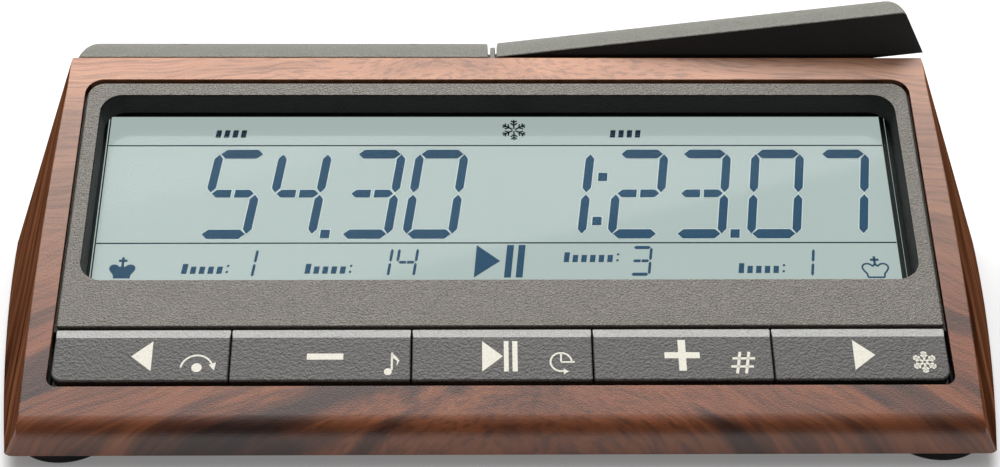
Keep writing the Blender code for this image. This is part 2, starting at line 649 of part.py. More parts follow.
def build():
    for obj in list(bpy.data.objects):
        bpy.data.objects.remove(obj, do_unlink=True)
    look = finishes()
    top_housing(look)
    base_cover(look)
    front_panel(look)
    display(look)
    main_board(look)
    buttons(look)
    button_mat(look)
    rocker(look)
    pivot(look)
    switches(look)
    power_supply(look)
    underside(look)


build()
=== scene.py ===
"""The finished look of the digital chess clock: fine surfaces, grained plastics, a printed wood film,
the display's figures, the camera and soft studio light."""

import math

import bmesh
import bpy
from mathutils import Matrix, Vector


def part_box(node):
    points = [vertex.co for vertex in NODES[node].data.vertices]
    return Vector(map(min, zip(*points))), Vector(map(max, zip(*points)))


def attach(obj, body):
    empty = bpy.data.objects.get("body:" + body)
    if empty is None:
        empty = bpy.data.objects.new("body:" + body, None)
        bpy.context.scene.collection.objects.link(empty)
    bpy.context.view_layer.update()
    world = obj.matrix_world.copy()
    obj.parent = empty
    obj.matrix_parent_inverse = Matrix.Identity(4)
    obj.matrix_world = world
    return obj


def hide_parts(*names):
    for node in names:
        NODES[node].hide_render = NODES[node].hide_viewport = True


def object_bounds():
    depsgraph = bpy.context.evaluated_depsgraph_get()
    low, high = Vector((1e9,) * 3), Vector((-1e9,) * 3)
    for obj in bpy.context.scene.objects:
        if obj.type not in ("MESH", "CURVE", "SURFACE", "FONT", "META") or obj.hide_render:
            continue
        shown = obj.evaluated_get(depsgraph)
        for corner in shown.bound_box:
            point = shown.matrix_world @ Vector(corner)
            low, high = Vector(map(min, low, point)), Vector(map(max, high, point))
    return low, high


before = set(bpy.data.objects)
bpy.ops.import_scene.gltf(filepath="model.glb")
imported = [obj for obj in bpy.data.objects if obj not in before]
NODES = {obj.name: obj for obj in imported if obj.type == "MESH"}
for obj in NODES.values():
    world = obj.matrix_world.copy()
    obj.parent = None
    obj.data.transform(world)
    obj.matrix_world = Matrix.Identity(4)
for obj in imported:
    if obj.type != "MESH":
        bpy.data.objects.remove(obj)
CAD_LOW, CAD_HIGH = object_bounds()
HOUSE_LOW, HOUSE_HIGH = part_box("top_housing")
MM = 0.001

# Casing, in millimetres in the case frame: X across, Y back from the front edge, Z up from the underside
CASE_DEPTH = (HOUSE_HIGH.y - HOUSE_LOW.y) / MM
WALL = 2.2
FRONT_HALF, SIDE_SPREAD, SIDE_BOW = 103.75, 0.2183, 0.000642
FRONT_CORNER, BACK_CORNER, BACK_LEAN = 1.9, 29.0, 0.14
NOSE_RADIUS = 5.3
FACE_ANGLE = math.radians(25.44)
FACE_HALF, FACE_BOW, FACE_Y, FACE_Z, FACE_LENGTH = 100.0, 1.1, 2.82, 8.30, 96.1
BOW_MIDDLE, BOW_REACH = 38.0, 50.0
COS_F, SIN_F, TAN_F = math.cos(FACE_ANGLE), math.sin(FACE_ANGLE), math.tan(FACE_ANGLE)
WELL_Y = FACE_Y + FACE_LENGTH * COS_F
DECK_TOP = 37.2
EDGE = 0.22               # rounding along the casing's long edges

# Front panel, on the sloping face: u across, v up the slope, w below the surface
OPENING = (95.8, 6.9, 89.4)
PANEL_HALF, PANEL_LOW, PANEL_HIGH = 95.15, 21.8, 88.4
RECESS = (91.65, 33.75, 84.7)
RECESS_CORNER = 4.7
FLANGE_HALF, FLANGE_HIGH, FLANGE_FROM_TO = 97.4, 90.2, (2.5, 4.0)

# Display, on the same face
LCD_TOP = 8.0
LCD_HALF, LCD_LOW, LCD_HIGH = 92.2, 32.5, 85.9
GROUND_LEFT, GROUND_RIGHT = -90.6, 89.6
FIGURE_MIDDLE = 62.3
# width, half the gap in the middle bar, height, upright stroke, level stroke, gap at the corners
FIGURE_SIZE = (10.3, 0.42, 25.0, 1.95, 2.5, 0.3)
SMALL_FIGURE_SIZE = (4.1, 0.1, 8.0, 0.62, 0.8, 0.18)

# Buttons
BUTTON_EDGES = (-94.85, -57.6, -19.2, 19.3, 57.6, 94.85)
BUTTON_LOW, BUTTON_FLAT_HIGH, BUTTON_HIGH = 8.1, 18.6, 20.95
STEM_V = 19.2
BUTTON_NAMES = ("back_button", "minus_button", "play_pause_button", "plus_button", "forward_button")

# Rocker
ROCK_ANGLE = math.radians(6.8)
PIVOT_Y, PIVOT_Z = 100.0, 25.5
LEVER_TOP, LEVER_FRONT, LEVER_ARC, LEVER_UNDER = 49.25, 90.5, 32.0, 38.3
LEVER_INNER, LEVER_INSET, LEVER_BACK = 2.4, 1.1, 111.1


# ---------------------------------------------------------------- frames and outlines
def to_world(x, y, z):
    return Vector((x * MM, HOUSE_LOW.y + y * MM, HOUSE_LOW.z + z * MM))


flat = to_world           # outlines in plan, levels upwards


def across(u, v, w):
    """Outlines in side view, levels to the right."""
    return to_world(w, u, v)


def through(u, v, w):
    """Outlines in front view, levels backwards."""
    return to_world(u, w, v)


def face(u, v, w):
    return to_world(u, FACE_Y + v * COS_F + w * SIN_F, FACE_Z + v * SIN_F - w * COS_F)


def rocked(base, angle, side=1):
    """A frame turned about the rocker's pin; side -1 mirrors it to the left."""
    pivot = to_world(0, PIVOT_Y, PIVOT_Z)
    c, s = math.cos(angle), math.sin(angle)

    def turned_frame(u, v, w):
        p = base(u, v, w)
        dx, dz = p.x * side, p.z - pivot.z
        return Vector((dx * c + dz * s, p.y, pivot.z - dx * s + dz * c))
    return turned_frame


def rectangle(x0, x1, y0, y1):
    return [(x0, y0), (x1, y0), (x1, y1), (x0, y1)]


def circle(cx, cy, r, count=32):
    return [(cx + r * math.cos(2 * math.pi * i / count), cy + r * math.sin(2 * math.pi * i / count))
            for i in range(count)]


def rounded(x0, x1, y0, y1, radii, steps=8):
    """Rectangle with a radius at each corner: lower left, lower right, upper right, upper left."""
    points = []
    corners = ((x0, y0, 180), (x1, y0, 270), (x1, y1, 0), (x0, y1, 90))
    for (cx, cy, start), r in zip(corners, radii):
        r = max(r, 0.02)
        mx, my = cx + (r if cx == x0 else -r), cy + (r if cy == y0 else -r)
        turns = [math.radians(start + 90 * i / steps) for i in range(steps + 1)]
        points += [(mx + r * math.cos(a), my + r * math.sin(a)) for a in turns]
    return points


def side_half(y):
    return FRONT_HALF + SIDE_SPREAD * y - SIDE_BOW * y * y


def face_height(y):
    return FACE_Z + (y - FACE_Y) * TAN_F


def face_half(y):
    """Half width of the sloping face, which bows out slightly towards its middle."""
    up = (y - FACE_Y) / COS_F
    return FACE_HALF + max(0.0, FACE_BOW * (1 - ((up - BOW_MIDDLE) / BOW_REACH) ** 2))


def side_lean(y):
    return (side_half(y) - face_half(y)) / face_height(y)


def quarter(radius, steps):
    """(inset, depth) pairs of a quarter round, from the flat top to the upright side."""
    turns = [math.pi / 2 * i / steps for i in range(steps + 1)]
    return [(radius * (1 - math.sin(a)), radius * (1 - math.cos(a))) for a in turns]


# ---------------------------------------------------------------- meshes
def new_object(name, data):
    obj = bpy.data.objects.new(name, data)
    bpy.context.scene.collection.objects.link(obj)
    return obj


def finish_mesh(name, bm, angle=40):
    bmesh.ops.recalc_face_normals(bm, faces=bm.faces)
    mesh = bpy.data.meshes.new(name)
    bm.to_mesh(mesh)
    bm.free()
    obj = new_object(name, mesh)
    mesh.shade_smooth()
    mesh.set_sharp_from_angle(angle=math.radians(angle))
    return obj


def stack(name, base, rings, angle=40):
    """Closed solid through rings of equal length; a ring is (outline, level)."""
    return loft(name, [[base(u, v, level) for u, v in outline] for outline, level in rings], angle)


def prism(name, base, outline, low, high, angle=40):
    return stack(name, base, [(outline, low), (outline, high)], angle)


def block(name, x, y, z):
    return prism(name, flat, rectangle(*x, *y), *z)


def loft(name, sections, angle=40):
    """Closed solid through sections of equal length, given as world points."""
    bm = bmesh.new()
    rows = [[bm.verts.new(p) for p in section] for section in sections]
    for a, b in zip(rows, rows[1:]):
        for i in range(len(a)):
            j = (i + 1) % len(a)
            bm.faces.new((a[i], a[j], b[j], b[i]))
    bm.faces.new(rows[0][::-1])
    bm.faces.new(rows[-1])
    return finish_mesh(name, bm, angle)


def even_shading(obj):
    """Large flat faces keep their own normals next to small roundings."""
    modifier = obj.modifiers.new("weighted_normals", 'WEIGHTED_NORMAL')
    modifier.mode = 'FACE_AREA'
    modifier.weight = 50
    modifier.keep_sharp = True
    return obj


def place(obj, body, slot, *nodes):
    """Hand a finished piece to its body, in place of CAD nodes; the slot argument is not used."""
    even_shading(obj)
    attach(obj, body)
    if nodes:
        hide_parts(*nodes)


def use(obj, *materials):
    obj.data.materials.clear()
    for m in materials:
        obj.data.materials.append(m)
    return obj


def carve(obj, tools, operation='DIFFERENCE', transfer=False):
    """Apply Booleans at once and drop their tools."""
    for tool in tools:
        modifier = obj.modifiers.new(tool.name, 'BOOLEAN')
        modifier.operation = operation
        modifier.solver = 'EXACT'
        modifier.object = tool
        if transfer:
            modifier.material_mode = 'TRANSFER'
    depsgraph = bpy.context.evaluated_depsgraph_get()
    mesh = bpy.data.meshes.new_from_object(obj.evaluated_get(depsgraph))
    obj.modifiers.clear()
    old = obj.data
    obj.data = mesh
    mesh.name = old.name
    bpy.data.meshes.remove(old)
    for tool in tools:
        bpy.data.objects.remove(tool)
    return obj


def join(name, parts):
    """One mesh from several separate ones."""
    bm = bmesh.new()
    slots = []
    for part in parts:
        start = len(bm.faces)
        mesh = part.data
        bm.from_mesh(mesh)
        bm.faces.ensure_lookup_table()
        remap = []
        for m in mesh.materials:
            if m not in slots:
                slots.append(m)
            remap.append(slots.index(m))
        for f in bm.faces[start:]:
            if remap:
                f.material_index = remap[f.material_index]
    mesh = bpy.data.meshes.new(name)
    bm.to_mesh(mesh)
    bm.free()
    for m in slots:
        mesh.materials.append(m)
    obj = new_object(name, mesh)
    for part in parts:
        bpy.data.objects.remove(part)
    return obj


# ---------------------------------------------------------------- materials
def srgb(r, g, b):
    def lin(c):
        c /= 255
        return c / 12.92 if c <= 0.04045 else ((c + 0.055) / 1.055) ** 2.4
    return lin(r), lin(g), lin(b)


class Nodes:
    """A small helper for building a material's node tree."""

    def __init__(self, name, colour, roughness, metallic=0.0, specular=0.5):
        self.material = bpy.data.materials.new(name)
        self.material.use_nodes = True
        self.tree = self.material.node_tree
        self.shader = self.tree.nodes["Principled BSDF"]
        for socket, value in (("Base Color", (*colour, 1.0)), ("Roughness", roughness), ("Metallic", metallic),
                              ("Specular IOR Level", specular)):
            self.shader.inputs[socket].default_value = value
        self.material.diffuse_color = (*colour, 1.0)

    def add(self, kind, **inputs):
        node = self.tree.nodes.new(kind)
        for key, value in inputs.items():
            node.inputs[key.replace("_", " ")].default_value = value
        return node

    def link(self, a, b):
        self.tree.links.new(a, b)

    def place(self):
        """Object coordinates."""
        return self.add("ShaderNodeTexCoord").outputs["Object"]

    def noise(self, vector, scale, detail=2.0, roughness=0.5, distortion=0.0):
        node = self.add("ShaderNodeTexNoise", Scale=scale, Detail=detail, Roughness=roughness,
                        Distortion=distortion)
        self.link(vector, node.inputs["Vector"])
        return node.outputs["Fac"]

    def ramp(self, factor, *stops):
        node = self.add("ShaderNodeValToRGB")
        elements = node.color_ramp.elements
        while len(elements) < len(stops):
            elements.new(0.5)
        for element, (position, colour) in zip(elements, stops):
            element.position = position
            element.color = (*colour, 1.0)
        self.link(factor, node.inputs["Fac"])
        return node.outputs["Color"]

    def mix(self, factor, a, b, blend='MIX'):
        node = self.add("ShaderNodeMix")
        node.data_type = 'RGBA'
        node.blend_type = blend
        for socket, value in ((node.inputs[0], factor), (node.inputs[6], a), (node.inputs[7], b)):
            if isinstance(value, bpy.types.NodeSocket):
                self.link(value, socket)
            else:
                socket.default_value = value if isinstance(value, (int, float)) else (*value, 1.0)
        return node.outputs[2]

    def bump(self, height, strength, distance=0.0001):
        node = self.add("ShaderNodeBump", Strength=strength, Distance=distance)
        self.link(height, node.inputs["Height"])
        self.link(node.outputs["Normal"], self.shader.inputs["Normal"])

    def colour(self, socket):
        self.link(socket, self.shader.inputs["Base Color"])

    def rough(self, factor, low, high):
        node = self.add("ShaderNodeMapRange", To_Min=low, To_Max=high)
        self.link(factor, node.inputs["Value"])
        self.link(node.outputs["Result"], self.shader.inputs["Roughness"])


def grained(name, colour, roughness, grain=0.55, depth=0.5, speckle=0.25, specular=0.5):
    """Moulded plastic with a fine spark-eroded grain, grain in millimetres."""
    n = Nodes(name, colour, roughness, specular=specular)
    at = n.place()
    fine = n.noise(at, 1000 / grain, 2.0, 0.6)
    coarse = n.noise(at, 1000 / (grain * 9), 2.0)
    dark = tuple(c * (1 - speckle) for c in colour)
    light = tuple(min(1.0, c * (1 + speckle)) for c in colour)
    tone = n.ramp(fine, (0.32, dark), (0.68, light))
    wear = n.ramp(coarse, (0.3, (0.9, 0.9, 0.9)), (0.7, (1.0, 1.0, 1.0)))
    n.colour(n.mix(1.0, tone, wear, 'MULTIPLY'))
    n.rough(coarse, roughness - 0.06, roughness + 0.06)
    n.bump(fine, depth, 0.0005)
    return n.material


# Wood film, in metres and degrees
MIDDLE_BLEND, HALF_BLEND, HALF_OFFSET = 0.028, 22.0, 0.045
LOW_STREAKS, HIGH_STREAKS, SIDE_TILT = 33.0, 7.0, 0.12
PAINTED_REFLECTION_FROM_TO, PAINTED_HIGHLIGHT_FROM_TO = (-0.022, 0.012), (0.034, 0.044)


def wood_film(name, sheen, side=False):
    """Printed rosewood film: red-brown, with dark streaks, fine pores and an even dot grain.

    On the sloping face the streaks lean towards the middle, mirrored left and right, and a painted
    reflection of the light above and behind makes the film paler, pinker and lower in contrast up the slope,
    with a painted highlight on the strip above the opening. On the sides and the back they run level
    and the film is not painted paler."""
    n = Nodes(name, srgb(140, 78, 50), 0.4, specular=sheen)
    parts = n.add("ShaderNodeSeparateXYZ")
    n.link(n.place(), parts.inputs[0])

    def math_node(kind, a, b=0.0, c=0.0):
        node = n.add("ShaderNodeMath")
        node.operation = kind
        for socket, value in zip(node.inputs, (a, b, c)):
            if isinstance(value, bpy.types.NodeSocket):
                n.link(value, socket)
            else:
                socket.default_value = value
        return node.outputs[0]

    # distance from the middle, softened there, and which half the point is in, from -1 to 1
    out = math_node('SQRT', math_node('MULTIPLY_ADD', parts.outputs["X"], parts.outputs["X"], MIDDLE_BLEND ** 2))
    half = math_node('TANH', math_node('MULTIPLY', parts.outputs["X"], HALF_BLEND))
    slope = math_node('MULTIPLY_ADD', parts.outputs["Z"], SIN_F,
                      math_node('MULTIPLY', parts.outputs["Y"], COS_F))
    rise = math_node('MULTIPLY_ADD', parts.outputs["Y"], -SIN_F,
                     math_node('MULTIPLY', parts.outputs["Z"], COS_F))

    def streak_space(angle):
        if side:
            along = math_node('MULTIPLY_ADD', rise, SIDE_TILT, slope)
            over = math_node('MULTIPLY_ADD', slope, -SIDE_TILT, rise)
        else:
            c, s = math.cos(math.radians(angle)), math.sin(math.radians(angle))
            along = math_node('MULTIPLY_ADD', out, -c, math_node('MULTIPLY', slope, s))
            over = math_node('MULTIPLY_ADD', out, s, math_node('MULTIPLY', slope, c))
        join_node = n.add("ShaderNodeCombineXYZ")
        n.link(along, join_node.inputs[0])
        n.link(over, join_node.inputs[1])
        n.link(parts.outputs["X"] if side else math_node('MULTIPLY', half, HALF_OFFSET), join_node.inputs[2])
        bend = n.add("ShaderNodeVectorMath")
        bend.operation = 'MULTIPLY_ADD'
        n.link(n.noise(join_node.outputs[0], 17.0, 2.0), bend.inputs[0])
        bend.inputs[1].default_value = (0.012, 0.022, 0.0)
        n.link(join_node.outputs[0], bend.inputs[2])
        return bend.outputs[0]

    def layered(space, scale, detail, roughness, distortion=0.0):
        stretch = n.add("ShaderNodeMapping", Scale=(scale[0], scale[1], scale[0]) if side else scale)
        n.link(space, stretch.inputs["Vector"])
        return n.noise(stretch.outputs[0], 1.0, detail, roughness, distortion)

    def up_slope(start, end, most=1.0):
        """0 below start and most above end, both measured up the slope in metres."""
        where = n.add("ShaderNodeMapRange", From_Min=start, From_Max=end, To_Max=most)
        n.link(slope, where.inputs["Value"])
        return where.outputs["Result"]

    low, high = streak_space(LOW_STREAKS), streak_space(HIGH_STREAKS)
    up = up_slope(*PAINTED_REFLECTION_FROM_TO)

    def both(scale, detail, roughness, distortion=0.0):
        return n.mix(up, layered(low, scale, detail, roughness, distortion),
                     layered(high, scale, detail, roughness, distortion))

    fine = both((16.0, 190.0, 60.0), 5.0, 0.62, 0.2)
    bands = both((8.0, 110.0, 40.0), 4.0, 0.55, 0.4)
    pores = both((70.0, 1100.0, 500.0), 2.0, 0.5)
    if side:
        base = n.ramp(fine, (0.28, srgb(50, 28, 17)), (0.5, srgb(106, 65, 43)), (0.72, srgb(140, 90, 62)))
    else:
        base = n.ramp(fine, (0.3, srgb(84, 43, 23)), (0.52, srgb(124, 68, 37)), (0.75, srgb(146, 85, 50)))
    dark = n.ramp(bands, (0.49, (1.0, 1.0, 1.0)), (0.56, (0.46, 0.42, 0.4)), (0.66, (0.15, 0.13, 0.12)))
    # the dark streaks fade up the slope, in the side copy too: on the face this is part of the painted
    # reflection
    dark = n.mix(math_node('MULTIPLY', up, 0.82), dark, (1.0, 1.0, 1.0))
    if not side:
        # the tone evens out towards one red-brown up the slope: part of the painted reflection
        base = n.mix(math_node('MULTIPLY', up, 0.6), base, srgb(130, 72, 39))
        # near the top of the face, on the strip above the opening, the film is painted about twice as bright: a
        # painted highlight
        crest = up_slope(*PAINTED_HIGHLIGHT_FROM_TO, 0.9)
        base = n.mix(crest, base, n.mix(1.0, base, (1.9, 2.0, 2.1), 'MULTIPLY'))
    toned = n.mix(1.0, base, dark, 'MULTIPLY')
    pore_tone = n.ramp(pores, (0.36, (0.66, 0.64, 0.64)), (0.52, (1.0, 1.0, 1.0)))
    # pale: the painted reflection, a paler and pinker tone up the sloping face; the side copy is left unchanged
    pale = n.ramp(up, (0.0, (1.0, 1.0, 1.0)), (1.0, (1.0, 1.0, 1.0) if side else (1.25, 1.8, 2.7)))
    n.colour(n.mix(1.0, n.mix(1.0, toned, pore_tone, 'MULTIPLY'), pale, 'MULTIPLY'))
    dots = n.noise(n.place(), 3400.0, 1.0)
    n.bump(dots, 0.4, 0.00012)
    n.rough(bands, 0.34, 0.44)
    return n.material


def brushed(name, colour, roughness=0.28):
    n = Nodes(name, colour, roughness, 1.0)
    fine = n.noise(n.place(), 1500.0, 3.0)
    n.colour(n.ramp(fine, (0.3, tuple(c * 0.85 for c in colour)), (0.7, colour)))
    n.rough(fine, roughness - 0.06, roughness + 0.1)
    n.bump(fine, 0.1, 0.00005)
    return n.material


def circuit_board():
    n = Nodes("circuit_board", (0.03, 0.17, 0.07), 0.4)
    at = n.place()
    cells = n.add("ShaderNodeTexVoronoi", Scale=260.0)
    cells.feature = 'DISTANCE_TO_EDGE'
    n.link(at, cells.inputs["Vector"])
    tracks = n.ramp(cells.outputs["Distance"], (0.04, (0.05, 0.26, 0.11)), (0.09, (0.02, 0.13, 0.05)))
    n.colour(tracks)
    n.bump(cells.outputs["Distance"], 0.2, 0.0001)
    return n.material


def lcd_sheet():
    """The display's pale grey-green ground, with a very faint cloudiness and a painted glow."""
    n = Nodes("lcd_ground", srgb(66, 72, 70), 0.05, specular=0.36)
    # the ground glows though the reflective display has no lamp: painted light that fills the shade the recess
    # casts and sets how bright the ground reads
    n.shader.inputs["Emission Color"].default_value = (*srgb(188, 202, 199), 1.0)
    n.shader.inputs["Emission Strength"].default_value = 0.78
    at = n.place()
    cloud = n.noise(at, 22.0, 2.0)
    fine = n.noise(at, 1800.0, 1.0)
    tone = n.ramp(cloud, (0.3, srgb(62, 69, 67)), (0.7, srgb(68, 74, 72)))
    speck = n.ramp(fine, (0.3, (0.97, 0.97, 0.97)), (0.7, (1.0, 1.0, 1.0)))
    n.colour(n.mix(1.0, tone, speck, 'MULTIPLY'))
    n.rough(fine, 0.04, 0.07)
    return n.material


def printed(name, colour, roughness=0.5, specular=0.4):
    n = Nodes(name, colour, roughness, specular=specular)
    fine = n.noise(n.place(), 1900.0, 2.0)
    n.colour(n.ramp(fine, (0.3, tuple(c * 0.86 for c in colour)), (0.7, colour)))
    n.bump(fine, 0.3, 0.0001)
    return n.material


def clear_window():
    material = bpy.data.materials.new("clear_acrylic")
    material.use_nodes = True
    tree = material.node_tree
    tree.nodes.clear()
    out = tree.nodes.new("ShaderNodeOutputMaterial")
    mixer = tree.nodes.new("ShaderNodeMixShader")
    clear = tree.nodes.new("ShaderNodeBsdfTransparent")
    clear.inputs["Color"].default_value = (0.97, 0.985, 0.98, 1.0)
    gloss = tree.nodes.new("ShaderNodeBsdfGlossy")
    gloss.inputs["Roughness"].default_value = 0.03
    fresnel = tree.nodes.new("ShaderNodeFresnel")
    fresnel.inputs["IOR"].default_value = 1.12
    for i, node in enumerate((fresnel, clear, gloss)):
        tree.links.new(node.outputs[0], mixer.inputs[i])
    tree.links.new(mixer.outputs[0], out.inputs["Surface"])
    return material


LOOK = {
    "wood": wood_film("wood_film", 0.62),
    "wood_side": wood_film("wood_film_side", 0.0, True),
    "panel": grained("panel_plastic", srgb(120, 115, 107), 0.42, 0.4, 0.8, 0.34),
    "button": grained("button_plastic", srgb(80, 78, 76), 0.5, 0.6, 0.55, 0.22),
    # a lighter, glossier copy of the button plastic, put on the buttons' upward top chamfer as a painted
    # highlight
    "painted_highlight_button_chamfer": grained("button_chamfer_painted_highlight", srgb(146, 145, 142), 0.3, 0.5, 0.4, 0.1),
    "lcd_edge": printed("lcd_edge", srgb(58, 62, 61), 0.9, 0.0),
    "lever": grained("lever_plastic", srgb(108, 107, 98), 0.5, 0.5, 0.5, 0.25),
    # a near-black copy of the lever plastic, put on the upright lever fronts as painted shade
    "painted_shade_lever_front": grained("lever_front_painted_shade", srgb(30, 27, 26), 0.62, 0.5, 0.3, 0.2, 0.25),
    "recess": grained("recess_black", srgb(17, 16, 16), 0.5, 0.4, 0.6, 0.6, 0.25),
    "black": grained("black_plastic", srgb(26, 25, 25), 0.55, 0.7, 0.4, 0.2),
    "inside": grained("inside_plastic", srgb(34, 33, 32), 0.6, 0.9, 0.3, 0.15),
    "rubber": grained("foot_rubber", srgb(24, 23, 23), 0.8, 0.9, 0.5, 0.2, 0.3),
    "white_film": grained("white_film", srgb(225, 225, 222), 0.4, 0.9, 0.1, 0.04),
    "lcd": lcd_sheet(),
    "segment": printed("lcd_segment", srgb(60, 92, 119), 0.9, 0.0),
    "halo": printed("lcd_halo", srgb(226, 236, 235), 0.9, 0.0),
    "line": printed("lcd_line", srgb(48, 66, 76), 0.9, 0.0),
    "icon": printed("icon_print", srgb(232, 228, 214), 0.5),
    "window": clear_window(),
    "board": circuit_board(),
    "steel": brushed("plated_steel", (0.62, 0.62, 0.61)),
    "brass": brushed("spring_brass", (0.72, 0.52, 0.22)),
    "cell": grained("cell_sleeve", srgb(52, 74, 86), 0.3, 1.2, 0.05, 0.06),
}


# ---------------------------------------------------------------- casing
def nose_points(steps):
    """(depth, height) points up the rounded nose, from the upright front to the sloping face."""
    corner_z = FACE_Z - FACE_Y * TAN_F
    start_z = corner_z - NOSE_RADIUS * math.tan((math.pi / 2 - FACE_ANGLE) / 2)
    turn = math.pi / 2 - FACE_ANGLE
    return [(NOSE_RADIUS - NOSE_RADIUS * math.cos(turn * i / steps),
             start_z + NOSE_RADIUS * math.sin(turn * i / steps))
            for i in range(steps + 1)]


def front_height(y):
    """Height of the casing's front and sloping face at depth y."""
    nose = nose_points(40)
    if y >= nose[-1][0]:
        return face_height(y)
    for (y0, z0), (y1, z1) in zip(nose, nose[1:]):
        if y <= y1:
            return z0 + (z1 - z0) * (y - y0) / (y1 - y0)
    return face_height(y)


def casing_rows():
    """Right half of the underside, front to back: (x, y, lean in x, lean in y, height of the top)."""
    rows = []
    r = FRONT_CORNER
    depths = sorted({round(p[0], 4) for p in nose_points(12)}
                    | {r * (1 - math.cos(math.pi / 2 * i / 8)) for i in range(9)})
    for y in depths:
        if y < r:
            x = side_half(r) - r + math.sqrt(max(0.0, r * r - (r - y) ** 2))
            rows.append((x, y, side_lean(r), 0.0, front_height(y)))
        else:
            rows.append((side_half(y), y, side_lean(y), 0.0, front_height(y)))
    end = CASE_DEPTH - BACK_CORNER
    first = max(depths) + 1.5
    steps = [first + (end - first) * i / 14 for i in range(15)]
    for y in steps:
        rows.append((side_half(y), y, side_lean(y), 0.0, front_height(y)))
    top = front_height(WELL_Y)
    turns = [math.asin((WELL_Y - end) / BACK_CORNER)] + [math.radians(90 * i / 12) for i in range(1, 13)]
    for a in turns:
        rows.append((side_half(end) - BACK_CORNER + BACK_CORNER * math.cos(a),
                     end + BACK_CORNER * math.sin(a),
                     math.cos(a) * side_lean(end), math.sin(a) * BACK_LEAN, top))
    return rows


def casing_section(x, y, lean_x, lean_y, high):
    """One fin of the casing from the left underside up, across the top and down to the right underside."""
    low_edge = 0.14
    right = [(x - low_edge, 0.0), (x - 0.04, 0.04), (x - low_edge * lean_x, low_edge)]
    fillet = min(EDGE, max(0.1, high * 0.2))
    side_top = x - lean_x * (high - fillet)
    corner = x - lean_x * high
    for i in range(6):
        a = math.pi / 2 * i / 5
        px = (corner - fillet) + fillet * math.cos(a) + (side_top - corner) * (1 - math.sin(a))
        right.append((px, high - fillet + fillet * math.sin(a)))
    points = [to_world(px, y - lean_y * pz, pz) for px, pz in right]
    left = [to_world(-px, y - lean_y * pz, pz) for px, pz in reversed(right)]
    return points + left


def casing():
    shell = loft("casing_shell", [casing_section(*row) for row in casing_rows()], 32)
    use(shell, LOOK["wood"])
    # the well behind the sloping face, with a rounded top edge
    crest = front_height(WELL_Y)
    well = [(WELL_Y, DECK_TOP), (WELL_Y, crest - 0.32), (WELL_Y - 0.08, crest - 0.17),
            (WELL_Y - 0.24, crest - 0.1), (WELL_Y - 1.5, crest - 0.1),
            (WELL_Y - 1.6, 60.0), (140.0, 60.0), (140.0, DECK_TOP)]
    well_tool = use(prism("well", across, well, -140.0, 140.0), LOOK["wood"])
    inner_y = WELL_Y - 2.0
    drop = WALL / COS_F
    hollow = inner_block("hollow", WALL)
    inner = [(WALL, -5.0), (WALL, face_height(WALL) - drop), (inner_y, face_height(inner_y) - drop),
             (inner_y, DECK_TOP - WALL), (130.0, DECK_TOP - WALL), (130.0, -5.0)]
    carve(hollow, [prism("hollow_profile", across, inner, -125.0, 125.0)], 'INTERSECT')
    use(hollow, LOOK["inside"])
    carve(shell, [well_tool, hollow], transfer=True)

    half, low, high = OPENING
    rings = []
    lip = 0.3
    rings.append((rounded(-half - 1.6, half + 1.6, low - 1.6, high + 1.6, (3.8, 3.8, 5.7, 5.7)), -1.5 + 0.32))
    for inset, depth in reversed(quarter(lip, 5)):
        rings.append((rounded(-half - inset, half + inset, low - inset, high + inset,
                              (2.3 + inset,) * 2 + (4.2 + inset,) * 2), lip - depth))
    rings.sort(key=lambda ring: ring[1])
    rings.append((rounded(-half, half, low, high, (2.3, 2.3, 4.2, 4.2)), 8.0))
    opening = use(stack("opening", face, rings), LOOK["wood"])
    tools = [opening, block("arm_slot", (-6.5, 6.5), (94.0, 106.0), (30.0, 40.0)),
             block("door_notch", (-32.0, 32.0), (108.0, 121.0), (-1.0, 2.0))]
    for i, x in enumerate((-30.0, 30.0)):
        tools.append(block("peg_slot_%d" % i, (x - 3.2, x + 3.2), (96.5, 103.0), (30.0, 40.0)))
    for tool in tools[1:]:
        use(tool, LOOK["inside"])
    carve(shell, tools, transfer=True)
    shell.data.materials.append(LOOK["wood_side"])
    side = len(shell.data.materials) - 1
    film = shell.data.materials.find(LOOK["wood"].name)
    for polygon in shell.data.polygons:
        if polygon.material_index == film and (abs(polygon.normal.x) > 0.75 or polygon.normal.y > 0.3):
            polygon.material_index = side
    shell.data.shade_smooth()
    shell.data.set_sharp_from_angle(angle=math.radians(32))
    place(shell, "case", "casing", "top_housing")


def inner_block(name, inset):
    """The casing's form, inset by a wall and open below."""
    rows = [(side_half(inset), inset, side_lean(inset), 0.0)]
    rows += [row[:4] for row in casing_rows() if row[1] > inset + 1.0]
    rings = []
    for z in (-1.0, 60.0):
        right = [(x - lean_x * z - inset, min(y, CASE_DEPTH - inset) - lean_y * z)
                 for x, y, lean_x, lean_y in rows]
        rings.append((right + [(-x, y) for x, y in reversed(right)], z))
    return stack(name, flat, rings)


